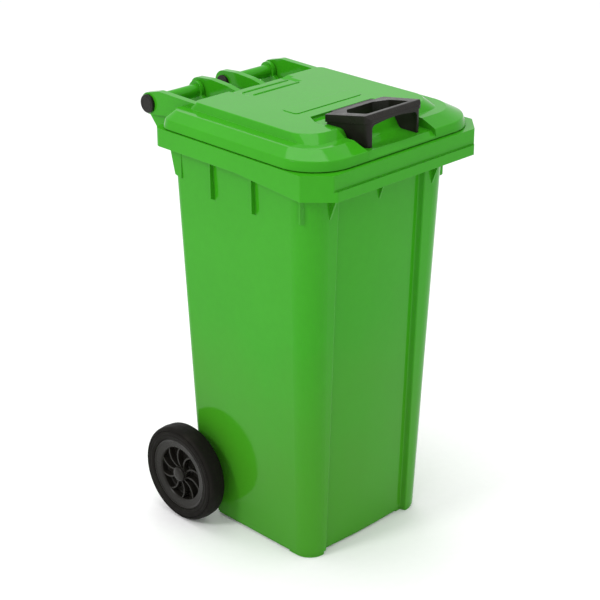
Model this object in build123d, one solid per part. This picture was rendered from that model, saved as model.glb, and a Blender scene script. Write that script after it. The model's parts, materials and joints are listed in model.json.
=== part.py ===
from build123d import *
import math
import os

# A two-wheeled refuse bin.  Millimetres; +Z is up, the front faces -Y and +X is the bin's right side
# as seen from the front.  The origin is on the ground under the middle of the bin.

# Overall sizes
DEPTH = 570.0
RIM_HALF_WIDTH = 240.0
WALL = 4.0
RUNNING_FIT = 0.08
END_GAP = 0.3

# Tub: a tapered shell, given by its size at the ground and at the reference height
TUB_REF_Z = 780.0
TUB_HALF_WIDTH = (169.0, 199.5)
TUB_FRONT_Y = (-193.0, -221.0)
TUB_REAR_Y = (145.0, 164.0)
TUB_FRONT_RADIUS = (40.0, 51.0)
TUB_REAR_RADIUS = 20.0
TUB_BASE_Z = 9.0
TUB_FLOOR = 5.0
COLUMN_EDGE_X = 121.0
COLUMN_STEP = 4.0
COLUMN_EDGE_RADIUS = 3.0
PANEL_DEPTH = 12.0
PANEL_BOW = 5.0
PANEL_BOW_RADIUS = 1400.0

# Rim round the mouth
RIM_FRONT_Y = -DEPTH / 2
RIM_REAR_Y = 170.0
RIM_TOP_Z = 866.0
RIM_FRONT_BOTTOM_Z = 815.0
RIM_SIDE_BOTTOM_Z = 829.0
RIM_KINK_Y = -60.0
RIM_CHAMFER = 49.0
RIM_BAND_Z = 835.0
RIM_BAND_SETBACK = 5.0
RIM_REAR_RADIUS = 16.0
RIM_EDGE_RADIUS = 5.0
RIM_THICK = 4.0

# Fins under the rim: outlines (x or y, z, radius) and the planes each plate lies between
FIN_TOP_Z = RIM_TOP_Z - 2
SIDE_FIN = [(-190, 733, 0), (-208, 741, 1), (-210, FIN_TOP_Z, 0), (-190, FIN_TOP_Z, 0)]
SIDE_FIN_Y = ((42, 45.5), (-74, -70.5))
CORNER_FIN = [(-180, 748, 0), (-201, 750, 2), (-202, FIN_TOP_Z, 0), (-180, FIN_TOP_Z, 0)]
CORNER_FIN_Y = (-198, -194)
REAR_FIN = [
    (135, 758, 0),
    (154, 762, 3),
    (160, 785, 20),
    (169, 821, 20),
    (169, FIN_TOP_Z, 0),
    (135, FIN_TOP_Z, 0),
]
REAR_FIN_X = (-201.5, -198)
FRONT_FIN = [(-190, 752, 0), (-221, 752, 0), (-264, FIN_TOP_Z, 0), (-190, FIN_TOP_Z, 0)]
FRONT_FIN_X = (-146, -142)
MIDDLE_FIN = [(-190, 756, 0), (-213, 756, 0), (-252, FIN_TOP_Z, 0), (-190, FIN_TOP_Z, 0)]
MIDDLE_FIN_X = (-1.7, 1.7)

# Base strip and feet
BASE_INSET = 3.0
FOOT_HEIGHT = 3.0
FOOT_REACH = 62.0

# Hinge
HINGE_Z = 880.0
INNER_EAR_R = 26.0
OUTER_EAR_R = 22.0
HINGE_Y = DEPTH / 2 - INNER_EAR_R
EAR_THICK = 14.0
OUTER_EAR_X = 162.0
INNER_EAR_X = 27.5
EAR_BOTTOM_Z = 869.0
EAR_FRONT_Y = 112.0
GRIP_R = 14.0
PIN_R = 9.0
PIN_HEAD_R = 19.0
PIN_HEAD_LONG = 6.5
BRACKET_GAP = 1.5
BRACKET_THICK = 9.0
BRACKET_R = 20.0
BRACKET_FRONT_Y = 155.0
OUTER_EAR_TOP = [(HINGE_Y + 9, HINGE_Z + 20.5, 0), (229, 911, 30), (EAR_FRONT_Y, 909, 0)]
INNER_EAR_TOP = [
    (HINGE_Y + 6, 905.5, 6),
    (225, 909, 60),
    (176, 906, 60),
    (128, 897, 0),
    (EAR_FRONT_Y, 897, 0),
]

# Lid: (height, half width, front, rear, front corner radius, rear corner radius) of each outline
LID_BOTTOM = (868.0, 236.5, -271.0, 165.0, 90.0, 34.0)
LID_CREASE = (885.5, 232.5, -267.0, 162.0, 90.0, 32.0)
LID_LEDGE = (899.0, 208.5, -231.5, 152.0, 68.0, 22.0)
LID_STEP = (899.0, 182.5, -210.5, 136.0, 36.0, 18.0)
LID_PANEL = (913.5, 175.5, -193.0, 124.0, 55.0, 16.0)
LID_WALL = 3.5
LID_PANEL_ROUND = 2.5
LID_CREASE_ROUND = 3.0
LID_TALL = 100.0

# The recess in the lid's front edge: its plan on one side, and its floor from back to front
LID_SHELF_Z = 907.0
LID_FLOOR_Z = 880.5
LID_NOSE_Z = 868.5
SCOOP_PLAN = ((84.0, -107.0), (102.0, -138.0), (104.0, -172.0), (96.0, -205.0), (92.0, -300.0))
SCOOP_PLAN_RADIUS = 12.0
SCOOP_BEND_RADIUS = 14.0
SCOOP_RAMP_Y = (-184.0, -203.0)
SCOOP_NOSE_Y = (-257.0, -274.0)

# Raised pad and shallow rear steps on the lid's panel
PAD_HALF_WIDTH = 92.0
PAD_Y = (-77.0, -36.0)
PAD_RADIUS = 9.0
PAD_HEIGHT = 1.2
STEP_RISERS = ((74.0, 2.6), (106.0, 5.6))
STEP_HALF_WIDTH = 66.0
STEP_END_SLOPE = 3.0

# Lid handle
LID_HANDLE_FRONT_Y = -250.0
LID_HANDLE_REAR_Y = -139.0
LID_HANDLE_FRONT_X = 76.0
LID_HANDLE_REAR_X = 81.0
LID_HANDLE_TOP_Z = 943.0
LID_HANDLE_REAR_Z = 925.0
LID_HANDLE_BAND = 14.5
LID_HANDLE_CORNER = 13.0
LID_HANDLE_NECK = 2.5
LID_HANDLE_WALL = 11.5
LID_HANDLE_FOOT_Y = (-185.5, -204.5)
LID_HANDLE_FLANGE = (56.0, 6.0, 10.0)
SCREW_R = 2.0
SCREW_LONG = 12.0
SCREW_HEAD = 2.6
SCREW_REAR = (60.0, LID_HANDLE_REAR_Y - 12)
SCREW_FRONT = (68.0, LID_HANDLE_FRONT_Y + 14)

# Running gear
WHEEL_R = 106.0
WHEEL_WIDTH = 43.0
WHEEL_INNER_X = 199.0
WHEEL_Y = 129.0
AXLE_R = 10.0
AXLE_BOSS_R = 19.0
AXLE_BOSS_END_X = 195.0
AXLE_END = 40.5
HUB_R = 78.9
HUB_BOSS_R = 18.0
HUB_BORE_R = 12.1
HUB_END = 37.0
HUB_WEB = (17.0, 20.5)
BUSH_R = HUB_BORE_R - 0.1
BUSH_FLANGE = 2.0
SPOKES = 10
SPOKE_REACH = (16.0, 60.0)
SPOKE_HALF_THICK = 1.8
SPOKE_BOW = 9.0
SPOKE_Z = (20.0, 34.5)
RECESS_FRONT_Y = 84.0
RECESS_TOP_Z = 150.0
RECESS_RADIUS = 60.0
LUG_X = ((-168, -150), (-66, -58))
BOSS_X = ((-AXLE_BOSS_END_X, -150), (-70, -54))


def rounded_face(corners, z=0.0):
    """A flat face at height z from corners (x, y, radius), in order round it."""
    edges = []
    previous_end = None
    first_start = None
    count = len(corners)
    for i, (x, y, radius) in enumerate(corners):
        here = Vector(x, y, z)
        back = (Vector(*corners[i - 1][:2], z) - here).normalized()
        ahead = (Vector(*corners[(i + 1) % count][:2], z) - here).normalized()
        start = end = here
        if radius > 0:
            half = math.radians(back.get_angle(ahead)) / 2
            middle = (back + ahead).normalized()
            start = here + back * (radius / math.tan(half))
            end = here + ahead * (radius / math.tan(half))
            top = here + middle * (radius / math.sin(half) - radius)
        if previous_end is None:
            first_start = start
        else:
            edges.append(Line(previous_end, start))
        if radius > 0:
            edges.append(ThreePointArc(start, top, end))
        previous_end = end
    edges.append(Line(previous_end, first_start))
    return Face(Wire(edges))


def slab(corners, x_from, x_to):
    """A plate between two X planes whose side outline has corners (y, z, radius)."""
    face = Plane.YZ.offset(x_from) * rounded_face(corners)
    return extrude(face, amount=x_to - x_from, dir=(1, 0, 0))


def fin(corners, y_from, y_to):
    """A plate between two Y planes whose outline has corners (x, z, radius)."""
    face = Plane.XZ.offset(-y_to) * rounded_face(corners)
    return extrude(face, amount=y_to - y_from, dir=(0, -1, 0))


def rod(radius, x_from, x_to, y, z):
    """A round bar along X."""
    bar = Cylinder(radius, x_to - x_from, align=(Align.CENTER, Align.CENTER, Align.MIN))
    return Pos(x_from, y, z) * Rot(0, 90, 0) * bar


def both_sides(shape):
    """The shape and its mirror image on the other side of the bin."""
    return shape + mirror(shape, about=Plane.YZ)


def at_height(pair, z):
    return pair[0] + (pair[1] - pair[0]) * z / TUB_REF_Z


# ---------------------------------------------------------------- tub


def tub_section(z, inset=0.0):
    """The tub's outline at height z: columns at the front corners and a bowed panel between them."""
    half = at_height(TUB_HALF_WIDTH, z) - inset
    front = at_height(TUB_FRONT_Y, z) + inset
    rear = at_height(TUB_REAR_Y, z) - inset
    round_front = at_height(TUB_FRONT_RADIUS, z) - inset
    panel = front + PANEL_DEPTH
    step_out = COLUMN_EDGE_X + inset
    step_in = step_out - COLUMN_STEP
    left = [
        (-half, rear, TUB_REAR_RADIUS - inset),
        (-half, front, round_front),
        (-step_out, front, COLUMN_EDGE_RADIUS),
        (-step_in, panel, COLUMN_EDGE_RADIUS),
    ]
    right = [(-x, y, r) for x, y, r in reversed(left)]
    return rounded_face(left + [(0.0, panel - PANEL_BOW, PANEL_BOW_RADIUS)] + right, z)


def tub_prism(z_from, z_to, inset=0.0):
    return loft([tub_section(z_from, inset), tub_section(z_to, inset)], ruled=True)


def rim_outline(front, chamfer_shift, inset, z):
    """The rim seen from above, with straight chamfers at the front corners."""
    half = RIM_HALF_WIDTH - inset
    trim = inset * (1 - math.tan(math.pi / 8))
    corner_x = half - RIM_CHAMFER + chamfer_shift + trim
    corner_y = RIM_FRONT_Y + RIM_CHAMFER + inset - trim
    left = [
        (-half, RIM_REAR_Y - inset, RIM_REAR_RADIUS - inset),
        (-half, corner_y, RIM_EDGE_RADIUS),
        (-corner_x, front + inset, RIM_EDGE_RADIUS),
    ]
    right = [(-x, y, r) for x, y, r in reversed(left)]
    return rounded_face(left + right, z)


def rim():
    """The inverted channel round the mouth, with a deeper lifting lip across the front."""
    band_front = RIM_FRONT_Y + RIM_BAND_SETBACK
    lower = rim_outline(RIM_FRONT_Y, 0.0, 0.0, RIM_FRONT_BOTTOM_Z)
    lower = extrude(lower, amount=RIM_BAND_Z - RIM_FRONT_BOTTOM_Z)
    upper = rim_outline(band_front, RIM_BAND_SETBACK, 0.0, RIM_BAND_Z)
    upper = extrude(upper, amount=RIM_TOP_Z - RIM_BAND_Z)
    low_room = rim_outline(RIM_FRONT_Y, 0.0, RIM_THICK, RIM_FRONT_BOTTOM_Z)
    low_room = extrude(low_room, amount=RIM_BAND_Z - RIM_THICK - RIM_FRONT_BOTTOM_Z)
    high_room = rim_outline(band_front, RIM_BAND_SETBACK, RIM_THICK, RIM_FRONT_BOTTOM_Z)
    high_room = extrude(high_room, amount=RIM_TOP_Z - RIM_THICK - RIM_FRONT_BOTTOM_Z)
    lip_end_y = RIM_FRONT_Y + RIM_CHAMFER
    below = RIM_FRONT_BOTTOM_Z - 10
    trim = [
        (lip_end_y, below, 0),
        (lip_end_y, RIM_FRONT_BOTTOM_Z, 0),
        (RIM_KINK_Y, RIM_SIDE_BOTTOM_Z, 0),
        (RIM_REAR_Y + 10, RIM_SIDE_BOTTOM_Z, 0),
        (RIM_REAR_Y + 10, below, 0),
    ]
    return lower + upper - low_room - high_room - slab(trim, -RIM_HALF_WIDTH - 1, RIM_HALF_WIDTH + 1)


def gussets():
    """Stiffening fins between the tub's wall and the underside of the rim."""
    ribs = fin(CORNER_FIN, *CORNER_FIN_Y)
    for span in SIDE_FIN_Y:
        ribs += fin(SIDE_FIN, *span)
    ribs += slab(REAR_FIN, *REAR_FIN_X) + slab(FRONT_FIN, *FRONT_FIN_X)
    return both_sides(ribs) + slab(MIDDLE_FIN, *MIDDLE_FIN_X)


def handle_brackets():
    """Two grip tubes, each between two brackets that reach back from the rim to the hinge axis."""
    outline = [
        (BRACKET_FRONT_Y, RIM_TOP_Z - 1, 0),
        (HINGE_Y - 24, RIM_TOP_Z + 1, 20),
        (HINGE_Y - 4, HINGE_Z + 16, 0),
        (HINGE_Y + BRACKET_R - 1, HINGE_Z, 0),
        (HINGE_Y + BRACKET_R, HINGE_Z - 24, 14),
        (HINGE_Y - 12, HINGE_Z - 60, 40),
        (BRACKET_FRONT_Y, HINGE_Z - 96, 0),
    ]
    outer = OUTER_EAR_X - BRACKET_GAP
    inner = INNER_EAR_X + EAR_THICK + BRACKET_GAP
    pair = slab(outline, -outer, -outer + BRACKET_THICK)
    pair += slab(outline, -inner - BRACKET_THICK, -inner)
    pair += rod(BRACKET_R, -outer, -outer + BRACKET_THICK, HINGE_Y, HINGE_Z)
    pair += rod(BRACKET_R, -inner - BRACKET_THICK, -inner, HINGE_Y, HINGE_Z)
    pair += rod(GRIP_R, -outer, -inner, HINGE_Y, HINGE_Z)
    pair -= rod(PIN_R + RUNNING_FIT, -outer - 1, -inner + 1, HINGE_Y, HINGE_Z)
    return both_sides(pair)


def axle_recess(grow=0.0):
    """The space under the rear of the tub that the axle runs through."""
    rear = TUB_REAR_Y[1] + 40
    top = RECESS_TOP_Z + grow
    outline = [
        (RECESS_FRONT_Y - grow, -10, 0),
        (rear, -10, 0),
        (rear, top, 0),
        (RECESS_FRONT_Y - grow, top, RECESS_RADIUS),
    ]
    return slab(outline, -RIM_HALF_WIDTH, RIM_HALF_WIDTH)


def axle_bosses():
    """Lugs that hang from the recess's ceiling and carry the axle."""
    lug = [
        (WHEEL_Y - 26, RECESS_TOP_Z + 3, 0),
        (WHEEL_Y - 17, WHEEL_R, 0),
        (WHEEL_Y + 15, WHEEL_R, 0),
        (WHEEL_Y + 15, RECESS_TOP_Z + 3, 0),
    ]
    side = slab(lug, *LUG_X[0]) + slab(lug, *LUG_X[1])
    for span in BOSS_X:
        side += rod(AXLE_BOSS_R, *span, WHEEL_Y, WHEEL_R)
    side -= rod(AXLE_R + RUNNING_FIT, -AXLE_BOSS_END_X - 1, -50, WHEEL_Y, WHEEL_R)
    return both_sides(side)


def tub():
    shell = tub_prism(TUB_BASE_Z, RIM_TOP_Z)
    shell += extrude(tub_section(TUB_BASE_Z, BASE_INSET), amount=FOOT_HEIGHT - TUB_BASE_Z)
    foot = tub_section(TUB_BASE_Z, BASE_INSET)
    foot = extrude(foot, amount=-TUB_BASE_Z)
    corner = Box(2 * FOOT_REACH, 2 * FOOT_REACH, 2 * TUB_BASE_Z)
    corner = Pos(-TUB_HALF_WIDTH[0], TUB_FRONT_Y[0], 0) * corner
    shell += foot & both_sides(corner)
    shell += rim() + gussets() + handle_brackets()
    shell -= axle_recess()
    room = tub_prism(TUB_BASE_Z + TUB_FLOOR, RIM_TOP_Z + 4, WALL)
    room -= axle_recess(WALL)
    shell -= room
    return shell + axle_bosses()


# ---------------------------------------------------------------- lid


def lid_outline(level, inset, z):
    """The lid seen from above at one of its levels, drawn at height z."""
    half, front, rear, front_radius, rear_radius = level[1:]
    left = [
        (-half + inset, rear - inset, rear_radius - inset),
        (-half + inset, front + inset, front_radius - inset),
    ]
    right = [(-x, y, r) for x, y, r in reversed(left)]
    return rounded_face(left + right, z)


def lid_solid(inset=0.0):
    """The stepped lid as a solid block, or the room under it when inset."""
    clear = 1.0 if inset else 0.0
    bottom = lid_outline(LID_BOTTOM, inset, LID_BOTTOM[0] - clear)
    crease = lid_outline(LID_CREASE, inset, LID_CREASE[0] - inset)
    ledge = lid_outline(LID_LEDGE, inset, LID_LEDGE[0] - inset)
    step = lid_outline(LID_STEP, inset, LID_STEP[0] - inset - 1)
    panel = lid_outline(LID_PANEL, inset, LID_PANEL[0] - inset)
    block = loft([bottom, crease], ruled=True)
    block += loft([crease, ledge], ruled=True)
    return block + loft([step, panel], ruled=True)


def scoop(grow=0.0):
    """The recess in the lid's front edge that the lid handle stands in."""
    back_y = SCOOP_PLAN[0][1] + grow
    ahead_y = SCOOP_PLAN[-1][1]
    top = LID_PANEL[0] + LID_TALL
    floor = [
        (back_y, top, 0),
        (back_y, LID_SHELF_Z - grow, LID_PANEL_ROUND),
        (SCOOP_RAMP_Y[0], LID_SHELF_Z - grow, SCOOP_BEND_RADIUS),
        (SCOOP_RAMP_Y[1] + grow, LID_FLOOR_Z - grow, SCOOP_BEND_RADIUS),
        (SCOOP_NOSE_Y[0], LID_FLOOR_Z - grow, LID_CREASE_ROUND),
        (SCOOP_NOSE_Y[1], LID_NOSE_Z - grow, 0),
        (ahead_y, LID_NOSE_Z - grow, 0),
        (ahead_y, top, 0),
    ]
    plan = [(-SCOOP_PLAN[0][0] - grow, back_y, 0)]
    plan += [(-x - grow, y, SCOOP_PLAN_RADIUS) for x, y in SCOOP_PLAN[1:-1]]
    plan += [(-SCOOP_PLAN[-1][0] - grow, ahead_y, 0)]
    plan += [(-x, y, r) for x, y, r in reversed(plan)]
    prism = extrude(rounded_face(plan, LID_NOSE_Z - LID_TALL / 2), amount=2 * LID_TALL)
    return slab(floor, -LID_PANEL[1], LID_PANEL[1]) & prism


def rear_steps(grow=0.0):
    """Two shallow steps down towards the rear in the middle of the lid's panel, with sloping ends."""
    cuts = []
    for riser_y, depth in STEP_RISERS:
        bottom = LID_PANEL[0] - depth - grow
        top = LID_PANEL[0] + PAD_RADIUS
        reach = STEP_HALF_WIDTH + grow
        run = STEP_END_SLOPE * (top - bottom)
        ends = [(-reach - run, top, 0), (-reach, bottom, 0)]
        ends += [(-x, z, r) for x, z, r in reversed(ends)]
        cuts.append(fin(ends, riser_y - grow, LID_BOTTOM[3]))
    return cuts[0] + cuts[1]


def lid_ear(x_from, radius, top):
    """One hinge ear: a plate from the lid's rear edge back to the hinge axis."""
    low = HINGE_Z - radius
    outline = [
        (EAR_FRONT_Y, EAR_BOTTOM_Z + 8, 0),
        (EAR_FRONT_Y + 28, EAR_BOTTOM_Z, 0),
        (RIM_REAR_Y + 8, EAR_BOTTOM_Z, 0),
        (HINGE_Y - 6, low, 20),
        (HINGE_Y + radius, HINGE_Z, 0),
        *top,
    ]
    ear = slab(outline, x_from, x_from + EAR_THICK)
    ear += rod(radius, x_from, x_from + EAR_THICK, HINGE_Y, HINGE_Z)
    return ear - rod(PIN_R + RUNNING_FIT, x_from - 1, x_from + EAR_THICK + 1, HINGE_Y, HINGE_Z)


def lid_shell_outside():
    """The lid's outer shape with its edges rounded over."""
    block = lid_solid()
    for height, radius in ((LID_PANEL[0], LID_PANEL_ROUND), (LID_CREASE[0], LID_CREASE_ROUND)):
        edges = [e for e in block.edges() if abs(e.center().Z - height) < 0.01 and e.length > 1]
        block = fillet(edges, radius)
    return block


def lid_ears():
    ears = lid_ear(OUTER_EAR_X, OUTER_EAR_R, OUTER_EAR_TOP)
    return both_sides(ears + lid_ear(INNER_EAR_X, INNER_EAR_R, INNER_EAR_TOP))


def lid():
    body = lid_shell_outside() - scoop() - rear_steps()
    body -= lid_solid(LID_WALL) - scoop(LID_WALL) - rear_steps(LID_WALL)
    corners = [(x, y, PAD_RADIUS) for x, y in ((-PAD_HALF_WIDTH, PAD_Y[0]), (PAD_HALF_WIDTH, PAD_Y[0]))]
    corners += [(x, PAD_Y[1], r) for x, y, r in reversed(corners)]
    body += extrude(rounded_face(corners, LID_PANEL[0] - 1), amount=1 + PAD_HEIGHT)
    body -= screw_holes(SCREW_R + END_GAP)
    return body + lid_ears()


def handle_plan(inset, z, height):
    """The lid handle's outline seen from above, as an upright prism."""
    plan = [
        (-LID_HANDLE_REAR_X + inset, LID_HANDLE_REAR_Y - inset, 7),
        (-LID_HANDLE_FRONT_X + inset, LID_HANDLE_FRONT_Y + inset, LID_HANDLE_CORNER - inset),
    ]
    plan += [(-x, y, r) for x, y, r in reversed(plan)]
    return extrude(rounded_face(plan, z), amount=height)


def lid_handle():
    """A hollow grip: a sloping ring on two legs, with a flange at the back and an arch in front."""
    reach = LID_HANDLE_REAR_X + 1
    low = LID_FLOOR_Z - LID_HANDLE_BAND
    front_low = LID_HANDLE_TOP_Z - LID_HANDLE_BAND
    rear_low = LID_HANDLE_REAR_Z - LID_HANDLE_BAND
    ring = [
        (LID_HANDLE_FRONT_Y, front_low, 1),
        (LID_HANDLE_FRONT_Y, LID_HANDLE_TOP_Z - 8, 3),
        (LID_HANDLE_FRONT_Y + 9, LID_HANDLE_TOP_Z, 4),
        (LID_HANDLE_REAR_Y, LID_HANDLE_REAR_Z, 3),
        (LID_HANDLE_REAR_Y, rear_low, 1),
    ]
    legs = [
        (LID_HANDLE_FRONT_Y, LID_FLOOR_Z, 0),
        (LID_HANDLE_FRONT_Y, front_low + 4, 0),
        (LID_HANDLE_REAR_Y, rear_low + 4, 0),
        (LID_HANDLE_REAR_Y, LID_SHELF_Z, 0),
        (LID_HANDLE_FOOT_Y[0], LID_SHELF_Z, 12),
        (LID_HANDLE_FOOT_Y[1], LID_FLOOR_Z, 12),
    ]
    block = slab(ring, -reach, reach) & handle_plan(0, low, LID_TALL)
    block += slab(legs, -reach, reach) & handle_plan(LID_HANDLE_NECK, low, LID_TALL)
    leg_inner = LID_HANDLE_FRONT_X - LID_HANDLE_NECK - LID_HANDLE_WALL
    hole = [
        (-leg_inner + 26, LID_HANDLE_REAR_Y - 18, 5),
        (-leg_inner + 3, LID_HANDLE_REAR_Y - 40, 6),
        (-leg_inner + 4, LID_HANDLE_FRONT_Y + 20, 6),
    ]
    hole += [(-x, y, r) for x, y, r in reversed(hole)]
    block -= extrude(rounded_face(hole, low), amount=LID_TALL)
    arch = [(-leg_inner, low, 0), (-leg_inner, front_low - 6, 9), (0, front_low + 1, 300)]
    arch += [(-x, z, r) for x, z, r in reversed(arch[:2])]
    block -= fin(arch, LID_HANDLE_FRONT_Y - 5, LID_HANDLE_REAR_Y - 42)
    half, deep, tall = LID_HANDLE_FLANGE
    flange = [
        (LID_HANDLE_REAR_Y - 3, LID_HANDLE_REAR_Z - tall, 0),
        (LID_HANDLE_REAR_Y + deep, LID_HANDLE_REAR_Z - tall, 0),
        (LID_HANDLE_REAR_Y + deep, LID_HANDLE_REAR_Z, 2),
        (LID_HANDLE_REAR_Y - 3, LID_HANDLE_REAR_Z, 0),
    ]
    return block + slab(flange, -half, half) - screw_holes(SCREW_R)


def upright(radius, height, x, y, z):
    """A round bar standing on the point (x, y, z)."""
    return Pos(x, y, z) * Cylinder(radius, height, align=(Align.CENTER, Align.CENTER, Align.MIN))


def screw_places():
    """Where the handle's four screws come through the lid: (x, y, height of the lid's top face)."""
    places = []
    for side in (-1, 1):
        places.append((side * SCREW_REAR[0], SCREW_REAR[1], LID_SHELF_Z))
        places.append((side * SCREW_FRONT[0], SCREW_FRONT[1], LID_FLOOR_Z))
    return places


def screw_holes(radius):
    deep = SCREW_LONG + LID_WALL + 2
    return [upright(radius, deep, x, y, z - LID_WALL - 1) for x, y, z in screw_places()]


def lid_handle_screws():
    """Pan-head screws with their heads under the lid and their shanks up in the handle."""
    screws = []
    for x, y, z in screw_places():
        head = upright(2.2 * SCREW_R, SCREW_HEAD, x, y, z - LID_WALL - SCREW_HEAD)
        screws.append(head + upright(SCREW_R, SCREW_LONG + LID_WALL, x, y, z - LID_WALL))
    return Compound(children=screws)


# ---------------------------------------------------------------- hinge pins


def hinge_pin(x_from, x_to):
    """A pin with a domed head at x_from; it runs to x_to."""
    way = 1 if x_to > x_from else -1
    long = abs(x_to - x_from)
    head = Cylinder(PIN_HEAD_R, PIN_HEAD_LONG, align=(Align.CENTER, Align.CENTER, Align.MIN))
    head = fillet(head.edges().group_by(Axis.Z)[0], 2.5)
    pin = head + Cylinder(PIN_R, long, align=(Align.CENTER, Align.CENTER, Align.MIN))
    return Pos(x_from, HINGE_Y, HINGE_Z) * Rot(0, 90 * way, 0) * pin


def hinge_pin_cap(x_from, x_to):
    """The head pressed on the pin's other end."""
    way = 1 if x_to > x_from else -1
    cap = Cylinder(PIN_HEAD_R - 2, PIN_HEAD_LONG, align=(Align.CENTER, Align.CENTER, Align.MIN))
    cap = fillet(cap.edges().group_by(Axis.Z)[-1], 2.5)
    cap -= Cylinder(PIN_R, PIN_HEAD_LONG - 2, align=(Align.CENTER, Align.CENTER, Align.MIN))
    return Pos(x_from, HINGE_Y, HINGE_Z) * Rot(0, 90 * way, 0) * cap


# ---------------------------------------------------------------- wheels: axis along Z, outer face up


def turned(corners):
    """A solid of revolution about Z from corners (radius, height, corner radius)."""
    return revolve(Plane.XZ * rounded_face(corners), axis=Axis.Z)


def tyre():
    bore = HUB_R + 0.1
    profile = [
        (bore, 2, 1),
        (96, 0, 4),
        (WHEEL_R, 6, 9),
        (WHEEL_R, WHEEL_WIDTH - 6, 9),
        (96, WHEEL_WIDTH, 5),
        (bore, WHEEL_WIDTH - 2, 1),
    ]
    return turned(profile)


def spoke():
    """One curved blade from the boss to the rim of the recess."""
    near, far = SPOKE_REACH
    middle = (near + far) / 2
    half = SPOKE_HALF_THICK
    low = ThreePointArc((near, -half), (middle, SPOKE_BOW - half), (far, -half))
    high = ThreePointArc((far, half), (middle, SPOKE_BOW + half), (near, half))
    outline = [low, Line(low @ 1, high @ 0), high, Line(high @ 1, low @ 0)]
    return extrude(Pos(0, 0, SPOKE_Z[0]) * Face(Wire(outline)), amount=SPOKE_Z[1] - SPOKE_Z[0])


def wheel_hub():
    profile = [
        (HUB_BORE_R, 0, 0),
        (HUB_BOSS_R, 0, 1),
        (HUB_BOSS_R, HUB_WEB[0], 2),
        (62, HUB_WEB[0], 2),
        (62, 33, 0),
        (75, 33, 0),
        (75, 3, 0),
        (HUB_R, 3, 0),
        (HUB_R, 40, 0),
        (76.5, 41.5, 1),
        (73.5, 39.5, 1),
        (61, 37.5, 2),
        (58.5, 35, 1),
        (58.5, HUB_WEB[1], 3),
        (HUB_BOSS_R, HUB_WEB[1], 3),
        (17, HUB_END, 1),
        (HUB_BORE_R, HUB_END, 0),
    ]
    hub = turned(profile)
    for i in range(SPOKES):
        hub += Rot(0, 0, 360 * i / SPOKES) * spoke()
    return hub


def wheel_bush():
    bore = AXLE_R + RUNNING_FIT
    profile = [
        (bore, -BUSH_FLANGE, 0),
        (16, -BUSH_FLANGE, 0),
        (16, 0, 0),
        (BUSH_R, 0, 0),
        (BUSH_R, HUB_END, 0),
        (bore, HUB_END, 0),
    ]
    return turned(profile)


def hub_cap():
    """A domed cap on the boss's end that hides the axle's end."""
    profile = [
        (0, 42.5, 0),
        (13.5, 42.5, 1),
        (13.5, HUB_END, 0),
        (16.5, HUB_END, 0),
        (16.5, 42, 4),
        (9, 45.5, 18),
        (0, 45.5, 0),
    ]
    return turned(profile)


def push_nut():
    """A pressed ring that holds the wheel on the axle."""
    low = HUB_END + 0.4
    rim_top = low + 1.2
    return turned([(AXLE_R, low, 0), (12.8, low, 0.4), (12.8, rim_top, 0.4), (AXLE_R, low + 2, 0)])


def axle_washer():
    top = -BUSH_FLANGE - END_GAP
    low = -2 * BUSH_FLANGE
    return turned([(AXLE_R, low, 0), (17, low, 0.3), (17, top, 0.3), (AXLE_R, top, 0)])


def on_axle(shape, side):
    """Puts a turned part on the axle with its outer face away from the bin; side is -1 or 1."""
    return Pos(side * WHEEL_INNER_X, WHEEL_Y, WHEEL_R) * Rot(0, 90 * side, 0) * shape


def main():
    os.makedirs("parts", exist_ok=True)
    nodes = {"tub": tub(), "lid": lid(), "lid_handle": lid_handle()}
    axle_end = WHEEL_INNER_X + AXLE_END
    nodes["axle"] = rod(AXLE_R, -axle_end, axle_end, WHEEL_Y, WHEEL_R)
    nodes["lid_handle_screws"] = lid_handle_screws()
    outer = OUTER_EAR_X + EAR_THICK + END_GAP + PIN_HEAD_LONG
    inner = INNER_EAR_X - END_GAP
    pin_end = inner - PIN_HEAD_LONG + 2
    for name, side in (("left", -1), ("right", 1)):
        nodes["hinge_pin_" + name] = hinge_pin(side * outer, side * pin_end)
        nodes["hinge_pin_cap_" + name] = hinge_pin_cap(side * inner, side * (inner - PIN_HEAD_LONG))
        nodes["tyre_" + name] = on_axle(tyre(), side)
        nodes["wheel_hub_" + name] = on_axle(wheel_hub(), side)
        nodes["wheel_bush_" + name] = on_axle(wheel_bush(), side)
        nodes["hub_cap_" + name] = on_axle(hub_cap(), side)
        nodes["push_nut_" + name] = on_axle(push_nut(), side)
        nodes["axle_washer_" + name] = on_axle(axle_washer(), side)
    for name, shape in nodes.items():
        export_step(shape, f"parts/{name}.step")


main()
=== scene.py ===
import json
import math

import bmesh
import bpy
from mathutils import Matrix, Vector


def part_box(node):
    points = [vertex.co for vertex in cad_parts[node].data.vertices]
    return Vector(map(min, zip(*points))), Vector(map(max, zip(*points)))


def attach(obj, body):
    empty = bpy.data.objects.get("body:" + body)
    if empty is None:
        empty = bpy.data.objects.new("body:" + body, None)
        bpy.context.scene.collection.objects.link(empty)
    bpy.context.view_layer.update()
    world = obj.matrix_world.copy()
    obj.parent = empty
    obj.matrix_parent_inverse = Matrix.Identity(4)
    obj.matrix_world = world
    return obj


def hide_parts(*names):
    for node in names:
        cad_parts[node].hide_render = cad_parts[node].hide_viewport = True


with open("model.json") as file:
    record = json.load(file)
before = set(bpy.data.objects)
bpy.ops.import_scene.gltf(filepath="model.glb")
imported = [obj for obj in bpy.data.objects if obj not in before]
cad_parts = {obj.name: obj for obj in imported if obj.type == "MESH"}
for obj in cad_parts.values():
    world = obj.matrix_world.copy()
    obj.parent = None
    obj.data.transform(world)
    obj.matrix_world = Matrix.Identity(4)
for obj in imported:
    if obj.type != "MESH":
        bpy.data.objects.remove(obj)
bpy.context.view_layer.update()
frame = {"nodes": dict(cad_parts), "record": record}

# Camera: where it stands as seen from the bin, and the lens
CAMERA_AZIMUTH = -44.8
CAMERA_ELEVATION = 23.83
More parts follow.
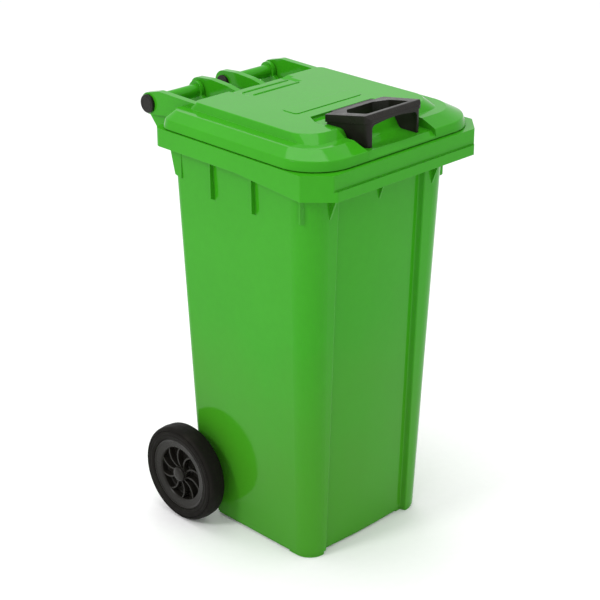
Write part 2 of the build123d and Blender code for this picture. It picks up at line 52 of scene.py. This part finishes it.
CAMERA_DISTANCE = 3.5553
CAMERA_TARGET = (0.0, -0.002, 0.470)
CAMERA_LENS = 103.0
CAMERA_SHIFT = (-0.0044, 0.0040)
CAMERA_SENSOR = 36.0
CAMERA_REACH = 100.0

# Lights, which all point at LIGHT_AIM: (name, place, side of the square lamp, watts)
LIGHT_AIM = (0.0, 0.0, 0.5)
LIGHTS = (
    ("key", (-2.9, 0.4, 2.5), 0.7, 36.0),
    ("fill", (1.0, -3.2, 1.6), 0.5, 6.0),
    ("top", (0.2, 0.5, 3.2), 1.6, 22.0),
)
WORLD_COLOR = (1.0, 1.0, 1.0, 1.0)
WORLD_STRENGTH = 1.03
FLOOR_HALF = 14.0

# Colours, linear.  GREEN_PAINTED_REFLECTION is painted reflection: the duller tone that the green turns
# to near the ground stands in for the shaded floor reflected in the lower walls
GREEN = (0.036, 0.318, 0.009)
GREEN_DEEP = (0.031, 0.276, 0.007)
GREEN_PAINTED_REFLECTION = (0.050, 0.232, 0.012)
# GREEN_WEAR_HIGHLIGHT: a paler green on the edges, part rubbed wear and part painted highlight lines
GREEN_WEAR_HIGHLIGHT = (0.17, 0.52, 0.10)
BLACK = (0.0085, 0.0078, 0.0062)
BLACK_PALE = (0.014, 0.0128, 0.0105)
# BLACK_WEAR_HIGHLIGHT: a paler brownish black on the edges, part rubbed wear and part painted highlight
BLACK_WEAR_HIGHLIGHT = (0.070, 0.063, 0.050)
RUBBER = (0.0090, 0.0083, 0.0070)
RUBBER_DUST = (0.030, 0.027, 0.022)
NYLON = (0.56, 0.54, 0.47)
NYLON_STAIN = (0.34, 0.32, 0.27)
ZINC = (0.60, 0.61, 0.60)
ZINC_DARK = (0.44, 0.45, 0.45)
ZINC_DULL = (0.30, 0.29, 0.27)
PAPER = (0.97, 0.97, 0.97)
PAPER_SHADE = (0.955, 0.955, 0.955)

# Detail sizes, metres; the tyre's rings are shares of its radius
TURN_STEPS = 120
CORNER_STEPS = 6
BORE_CLEARANCE = 0.0001
BEAD_CHAMFER = 0.002
TYRE_SHOULDER = 0.0085
TYRE_CROWN = 0.0012
TYRE_RINGS = (0.81, 0.87, 0.925)
TYRE_RING_HALF = 0.0011
TYRE_RING_RISE = 0.0005
PARTING_HALF = 0.0008
PARTING_RISE = 0.0004
RIDGE_PITCH = 0.005
RIDGE_COUNT = 25
RIDGE_THICK = 0.0016
RIDGE_RISE = 0.0005
RIDGE_SECTION = ((0.12, -1.5), (0.2, 1.0), (0.8, 1.0), (0.88, -1.5))
HANDLE_CHAMFER = (0.009, 0.008)
BEAD_HALF = 0.0024
BEAD_RISE = 0.0022
BEAD_STEPS = 8
BEAD_GAP = 0.032
BEAD_REACH = (0.064, 0.064)
BEAD_END_SIZE = 0.3
STEP_Y = 0.074
PANEL_TOP = (0.9132, 0.9106)
PIN_RING = 0.013
PIN_RING_HALF = 0.0012


# ---------------------------------------------------------------- node helpers


class Graph:
    """A material's node tree with short calls for the nodes that every material here uses."""

    def __init__(self, name):
        self.material = bpy.data.materials.new(name)
        self.material.use_nodes = True
        tree = self.material.node_tree
        self.nodes = tree.nodes
        self.links = tree.links
        self.shader = self.nodes["Principled BSDF"]
        self.place = self.add("ShaderNodeTexCoord").outputs["Object"]

    def add(self, kind, **settings):
        node = self.nodes.new(kind)
        for key, value in settings.items():
            setattr(node, key, value)
        return node

    def join(self, source, socket):
        if hasattr(source, "is_output"):
            self.links.new(source, socket)
        else:
            socket.default_value = source

    def stretch(self, scale):
        """Object coordinates stretched by a scale for each axis."""
        node = self.add("ShaderNodeMapping")
        self.join(self.place, node.inputs["Vector"])
        node.inputs["Scale"].default_value = scale
        return node.outputs["Vector"]

    def noise(self, scale, detail=3.0, rough=0.5, where=None):
        node = self.add("ShaderNodeTexNoise")
        self.join(where or self.place, node.inputs["Vector"])
        node.inputs["Scale"].default_value = scale
        node.inputs["Detail"].default_value = detail
        node.inputs["Roughness"].default_value = rough
        return node.outputs["Fac"]

    def cells(self, scale, where=None):
        node = self.add("ShaderNodeTexVoronoi")
        self.join(where or self.place, node.inputs["Vector"])
        node.inputs["Scale"].default_value = scale
        return node.outputs["Distance"]

    def span(self, value, low, high, to_low=0.0, to_high=1.0):
        """Maps a value's range from low..high to to_low..to_high, clamped."""
        node = self.add("ShaderNodeMapRange")
        self.join(value, node.inputs["Value"])
        node.inputs["From Min"].default_value = low
        node.inputs["From Max"].default_value = high
        node.inputs["To Min"].default_value = to_low
        node.inputs["To Max"].default_value = to_high
        return node.outputs["Result"]

    def sums(self, operation, a, b):
        node = self.add("ShaderNodeMath", operation=operation)
        self.join(a, node.inputs[0])
        self.join(b, node.inputs[1])
        return node.outputs[0]

    def mix(self, factor, a, b):
        node = self.add("ShaderNodeMix", data_type="RGBA")
        self.join(factor, node.inputs["Factor"])
        self.join((*a, 1.0) if isinstance(a, tuple) else a, node.inputs["A"])
        self.join((*b, 1.0) if isinstance(b, tuple) else b, node.inputs["B"])
        return node.outputs["Result"]

    def height(self):
        """Height above the ground."""
        node = self.add("ShaderNodeSeparateXYZ")
        self.join(self.place, node.inputs["Vector"])
        return node.outputs["Z"]

    def edges(self, radius, reach=0.35):
        """A mask of the edges, which are rounded to radius, and the rounded normal itself."""
        bevel = self.add("ShaderNodeBevel", samples=4)
        bevel.inputs["Radius"].default_value = radius
        geometry = self.add("ShaderNodeNewGeometry")
        dot = self.add("ShaderNodeVectorMath", operation="DOT_PRODUCT")
        self.join(bevel.outputs["Normal"], dot.inputs[0])
        self.join(geometry.outputs["Normal"], dot.inputs[1])
        mask = self.span(dot.outputs["Value"], 1.0, 1.0 - reach, 0.0, 1.0)
        return mask, bevel.outputs["Normal"]

    def bump(self, height, distance, strength=1.0, normal=None):
        node = self.add("ShaderNodeBump")
        node.inputs["Strength"].default_value = strength
        node.inputs["Distance"].default_value = distance
        self.join(height, node.inputs["Height"])
        if normal is not None:
            self.join(normal, node.inputs["Normal"])
        return node.outputs["Normal"]

    def finish(self, color, roughness, normal, **constants):
        self.join(color, self.shader.inputs["Base Color"])
        self.join(roughness, self.shader.inputs["Roughness"])
        self.join(normal, self.shader.inputs["Normal"])
        for key, value in constants.items():
            self.shader.inputs[key.replace("_", " ")].default_value = value
        return self.material


# ---------------------------------------------------------------- materials


def green_plastic():
    g = Graph("green_plastic")
    edge_mask, rounded = g.edges(0.0009)
    clouds = g.noise(2.6, 4.0)
    mottle = g.noise(70.0, 3.0)
    tone = g.span(clouds, 0.35, 0.65, 0.0, 0.6)
    tone = g.sums("ADD", tone, g.span(mottle, 0.3, 0.7, 0.0, 0.25))
    color = g.mix(tone, GREEN_DEEP, GREEN)
    # Painted reflection: the green turns duller towards the ground, standing in for the shaded floor
    # reflected in the lower walls
    painted_reflection_drift = g.sums("ADD", g.height(), g.span(g.noise(3.5, 5.0, 0.6), 0.3, 0.7, -0.10, 0.10))
    color = g.mix(g.span(painted_reflection_drift, 0.52, 0.12, 0.0, 0.75), color, GREEN_PAINTED_REFLECTION)
    # Edges turn paler, part rubbed wear and part painted highlight; every edge gets at least a little of
    # it
    rubs = g.span(g.noise(26.0, 6.0, 0.7), 0.47, 0.66)
    wear_and_highlight = g.sums("MULTIPLY", edge_mask, g.span(rubs, 0.0, 1.0, 0.12, 0.75))
    color = g.mix(wear_and_highlight, color, GREEN_WEAR_HIGHLIGHT)
    scratches = g.span(g.noise(14.0, 8.0, 0.75, g.stretch((1.0, 1.0, 0.05))), 0.62, 0.7)
    rough = g.span(g.noise(9.0, 5.0), 0.3, 0.7, 0.06, 0.12)
    rough = g.sums("ADD", rough, g.span(scratches, 0.0, 1.0, 0.0, 0.10))
    rough = g.sums("ADD", rough, g.span(wear_and_highlight, 0.0, 1.0, 0.0, 0.25))
    normal = g.bump(g.noise(5.0, 1.0), 0.0022, 0.25, rounded)
    normal = g.bump(g.noise(420.0, 2.0), 0.00012, 0.30, normal)
    normal = g.bump(scratches, 0.00008, 0.25, normal)
    return g.finish(color, rough, normal, Specular_IOR_Level=0.16)


def black_plastic():
    g = Graph("black_plastic")
    edge_mask, rounded = g.edges(0.0012)
    tone = g.noise(30.0, 5.0, 0.6)
    color = g.mix(g.span(tone, 0.3, 0.75), BLACK, BLACK_PALE)
    # Edges turn paler, part rubbed wear and part painted highlight
    rubs = g.span(g.noise(60.0, 6.0, 0.7), 0.42, 0.64)
    wear_and_highlight = g.sums("MULTIPLY", edge_mask, g.span(rubs, 0.0, 1.0, 0.15, 0.9))
    color = g.mix(wear_and_highlight, color, BLACK_WEAR_HIGHLIGHT)
    rough = g.span(g.noise(40.0, 4.0), 0.3, 0.7, 0.26, 0.38)
    rough = g.sums("ADD", rough, g.span(wear_and_highlight, 0.0, 1.0, 0.0, 0.12))
    grain = g.sums("ADD", g.cells(1100.0), g.noise(700.0, 3.0))
    normal = g.bump(grain, 0.00010, 0.5, rounded)
    return g.finish(color, rough, normal, Specular_IOR_Level=0.17)


def tyre_rubber():
    g = Graph("tyre_rubber")
    edge_mask, rounded = g.edges(0.0015)
    dust = g.span(g.noise(24.0, 7.0, 0.7), 0.52, 0.74, 0.0, 0.30)
    color = g.mix(dust, RUBBER, RUBBER_DUST)
    scuffs = g.span(g.noise(90.0, 6.0, 0.75), 0.55, 0.7)
    color = g.mix(g.sums("MULTIPLY", edge_mask, scuffs), color, RUBBER_DUST)
    rough = g.span(g.noise(50.0, 5.0), 0.3, 0.7, 0.46, 0.66)
    grain = g.sums("ADD", g.noise(520.0, 4.0, 0.7), g.cells(800.0))
    normal = g.bump(grain, 0.00016, 0.6, rounded)
    return g.finish(color, rough, normal, Specular_IOR_Level=0.05)


def bush_plastic():
    g = Graph("bush_plastic")
    stain = g.span(g.noise(55.0, 6.0, 0.7), 0.42, 0.7)
    color = g.mix(stain, NYLON, NYLON_STAIN)
    rough = g.span(g.noise(80.0, 4.0), 0.3, 0.7, 0.34, 0.52)
    normal = g.bump(g.noise(600.0, 3.0), 0.00008, 0.5)
    return g.finish(color, rough, normal, Specular_IOR_Level=0.5)


def zinc_steel():
    g = Graph("zinc_steel")
    spangle = g.cells(260.0)
    turned = g.noise(16.0, 5.0, 0.6, g.stretch((1.0, 60.0, 60.0)))
    color = g.mix(g.span(spangle, 0.1, 0.7), ZINC, ZINC_DARK)
    dull = g.span(g.noise(45.0, 6.0, 0.7), 0.5, 0.72, 0.0, 0.7)
    color = g.mix(dull, color, ZINC_DULL)
    rough = g.sums("ADD", g.span(turned, 0.3, 0.7, 0.24, 0.40), g.span(dull, 0.0, 1.0, 0.0, 0.2))
    normal = g.bump(turned, 0.00006, 0.6)
    return g.finish(color, rough, normal, Metallic=1.0)


def floor_paper():
    g = Graph("floor_paper")
    color = g.mix(g.span(g.noise(60.0, 4.0), 0.3, 0.7), PAPER, PAPER_SHADE)
    rough = g.span(g.noise(20.0, 4.0), 0.3, 0.7, 0.75, 0.9)
    normal = g.bump(g.noise(300.0, 3.0), 0.0002, 0.3)
    return g.finish(color, rough, normal, Specular_IOR_Level=0.2)


# ---------------------------------------------------------------- stage


def camera():
    data = bpy.data.cameras.new("camera")
    data.lens = CAMERA_LENS
    data.sensor_width = CAMERA_SENSOR
    data.shift_x, data.shift_y = CAMERA_SHIFT
    data.clip_end = CAMERA_REACH
    azimuth = math.radians(CAMERA_AZIMUTH)
    elevation = math.radians(CAMERA_ELEVATION)
    out = Vector((
        math.sin(azimuth) * math.cos(elevation),
        -math.cos(azimuth) * math.cos(elevation),
        math.sin(elevation),
    ))
    body = bpy.data.objects.new("camera", data)
    body.location = Vector(CAMERA_TARGET) + CAMERA_DISTANCE * out
    body.rotation_euler = out.to_track_quat("Z", "Y").to_euler()
    bpy.context.collection.objects.link(body)
    bpy.context.scene.camera = body


def softbox(name, place, size, power):
    data = bpy.data.lights.new(name, "AREA")
    data.shape = "RECTANGLE"
    data.size = size
    data.size_y = size
    data.energy = power
    lamp = bpy.data.objects.new(name, data)
    lamp.location = place
    lamp.rotation_euler = (Vector(place) - Vector(LIGHT_AIM)).to_track_quat("Z", "Y").to_euler()
    bpy.context.collection.objects.link(lamp)


def studio():
    """The lamps, a white surround and a pale floor."""
    for light in LIGHTS:
        softbox(*light)
    world = bpy.data.worlds.new("studio")
    world.use_nodes = True
    surround = world.node_tree.nodes["Background"]
    surround.inputs["Color"].default_value = WORLD_COLOR
    surround.inputs["Strength"].default_value = WORLD_STRENGTH
    bpy.context.scene.world = world
    bpy.context.scene.view_settings.view_transform = "Standard"

    mesh = bpy.data.meshes.new("floor")
    signs = ((-1, -1), (1, -1), (1, 1), (-1, 1))
    corners = [(x * FLOOR_HALF, y * FLOOR_HALF, 0) for x, y in signs]
    mesh.from_pydata(corners, [], [(0, 1, 2, 3)])
    floor = bpy.data.objects.new("floor", mesh)
    mesh.materials.append(floor_paper())
    bpy.context.collection.objects.link(floor)


# ---------------------------------------------------------------- the bin

MATERIALS = {
    "green_plastic": green_plastic(),
    "black_plastic": black_plastic(),
    "tyre_rubber": tyre_rubber(),
    "bush_plastic": bush_plastic(),
    "zinc_steel": zinc_steel(),
}


def dress_frame():
    """Gives every CAD node the material of its slot."""
    for part in frame["record"]["subparts"]:
        node = frame["nodes"][part["node"]]
        for place in node.material_slots:
            place.material = MATERIALS[part["material_slot"]]


# ---------------------------------------------------------------- pieces


def add_piece(name, shape, node, slot):
    """Makes a piece of a bmesh that moves with a CAD node and takes its finish from a slot."""
    bmesh.ops.recalc_face_normals(shape, faces=shape.faces)
    mesh = bpy.data.meshes.new(name)
    shape.to_mesh(mesh)
    shape.free()
    mesh.materials.append(MATERIALS[slot])
    piece = bpy.data.objects.new(name, mesh)
    bpy.context.collection.objects.link(piece)
    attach(piece, BODY_OF[node])
    return piece


def turn(shape, profile, centre, way):
    """Turns a closed profile of (across, radius) points about the X axis through centre."""
    rings = []
    for i in range(TURN_STEPS):
        angle = math.tau * i / TURN_STEPS
        out = Vector((0.0, math.cos(angle), math.sin(angle)))
        ring = []
        for across, radius in profile:
            ring.append(shape.verts.new(centre + Vector((way * across, 0, 0)) + radius * out))
        rings.append(ring)
    for ring, following in zip(rings, rings[1:] + rings[:1]):
        for j in range(len(profile)):
            face = shape.faces.new((ring[j - 1], ring[j], following[j], following[j - 1]))
            face.smooth = True


def tyre_profile(bore, radius, half):
    """A section through the tyre: rings on the sidewalls, round shoulders, a crown and a parting line."""
    side = [(half - BEAD_CHAMFER, bore), (half, bore + BEAD_CHAMFER)]
    for share in TYRE_RINGS:
        middle = share * radius
        for step, rise in ((-1, 0), (-0.5, 1), (0.5, 1), (1, 0)):
            side.append((half + rise * TYRE_RING_RISE, middle + step * TYRE_RING_HALF))
    for i in range(CORNER_STEPS + 1):
        angle = math.pi / 2 * i / CORNER_STEPS
        across = half - TYRE_SHOULDER * (1 - math.cos(angle))
        side.append((across, radius - TYRE_CROWN - TYRE_SHOULDER * (1 - math.sin(angle))))
    reach = half - TYRE_SHOULDER
    for i in range(CORNER_STEPS):
        across = reach * (1 - (i + 1) / (CORNER_STEPS + 1))
        side.append((across, radius - PARTING_RISE - (TYRE_CROWN - PARTING_RISE) * (across / reach) ** 2))
    side.append((PARTING_HALF, radius - PARTING_RISE))
    return side + [(0.0, radius)] + [(-across, r) for across, r in reversed(side)]


def tyres():
    for side in ("left", "right"):
        low, high = (Vector(corner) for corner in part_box("tyre_" + side))
        hub_low, hub_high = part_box("wheel_hub_" + side)
        bore = (hub_high[2] - hub_low[2]) / 2 + BORE_CLEARANCE
        radius = (high.z - low.z) / 2
        shape = bmesh.new()
        half = (high.x - low.x) / 2 - TYRE_RING_RISE
        turn(shape, tyre_profile(bore, radius, half), (low + high) / 2, 1)
        piece = add_piece("tyre_moulded_" + side, shape, "tyre_" + side, "tyre_rubber")
        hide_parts("tyre_" + side)


def handle_ridges():
    """Fine ridges across the front top edge of the lid handle."""
    low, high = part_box("lid_handle")
    deep, tall = HANDLE_CHAMFER
    out = Vector((0.0, -tall, deep)).normalized()
    start = Vector((0.0, low[1], high[2] - tall))
    along = Vector((0.0, deep, tall))
    shape = bmesh.new()
    for i in range(RIDGE_COUNT):
        x = (i - (RIDGE_COUNT - 1) / 2) * RIDGE_PITCH
        corners = []
        for dx in (-0.5, 0.5):
            for share, rise in RIDGE_SECTION:
                place = start + share * along + rise * RIDGE_RISE * out
                corners.append(shape.verts.new(place + Vector((x + dx * RIDGE_THICK, 0, 0))))
        shape.faces.new(corners[:4])
        shape.faces.new(corners[:3:-1])
        for j in range(4):
            following = (j + 1) % 4
            shape.faces.new((corners[j], corners[j + 4], corners[following + 4], corners[following]))
    piece = add_piece("handle_ridges", shape, "lid_handle", "black_plastic")
    soften = piece.modifiers.new("soften", "BEVEL")
    soften.width = RIDGE_RISE / 2
    soften.segments = 2


def step_beads():
    """Two low rounded beads moulded along the rear steps of the lid's panel."""
    shape = bmesh.new()
    for i, reach in enumerate(BEAD_REACH):
        y = STEP_Y + i * BEAD_GAP - BEAD_HALF
        rings = []
        inner = reach - BEAD_HALF
        for x, size in ((-reach, BEAD_END_SIZE), (-inner, 1.0), (inner, 1.0), (reach, BEAD_END_SIZE)):
            ring = []
            for j in range(BEAD_STEPS + 1):
                angle = math.pi * j / BEAD_STEPS
                rise = BEAD_RISE * size * math.sin(angle)
                across = BEAD_HALF * size * math.cos(angle)
                ring.append(shape.verts.new((x, y + across, PANEL_TOP[i] + rise)))
            rings.append(ring)
        for ring, following in zip(rings, rings[1:]):
            for j in range(BEAD_STEPS + 1):
                face = shape.faces.new((ring[j - 1], ring[j], following[j], following[j - 1]))
                face.smooth = j > 0
        shape.faces.new(rings[0])
        shape.faces.new(rings[-1][::-1])
    add_piece("step_beads", shape, "lid", "green_plastic")


def pin_rings():
    """A raised ring moulded on each hinge pin's head."""
    for side, way in (("left", -1), ("right", 1)):
        low, high = (Vector(corner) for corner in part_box("hinge_pin_" + side))
        face = high if way > 0 else low
        centre = (low + high) / 2
        centre.x = face.x
        profile = [
            (-PIN_RING_HALF, PIN_RING - PIN_RING_HALF),
            (PIN_RING_HALF / 3, PIN_RING - PIN_RING_HALF / 2),
            (PIN_RING_HALF / 3, PIN_RING + PIN_RING_HALF / 2),
            (-PIN_RING_HALF, PIN_RING + PIN_RING_HALF),
        ]
        shape = bmesh.new()
        turn(shape, profile, centre, way)
        node = "hinge_pin_" + side
        add_piece("pin_ring_" + side, shape, node, SLOT_OF[node])


SLOT_OF = {part["node"]: part["material_slot"] for part in frame["record"]["subparts"]}
BODIES = frame["record"]["behaviour"]["bodies"]
BODY_OF = {node: body for body, nodes in BODIES.items() for node in nodes}

camera()
studio()
dress_frame()
tyres()
handle_ridges()
step_beads()
pin_rings()
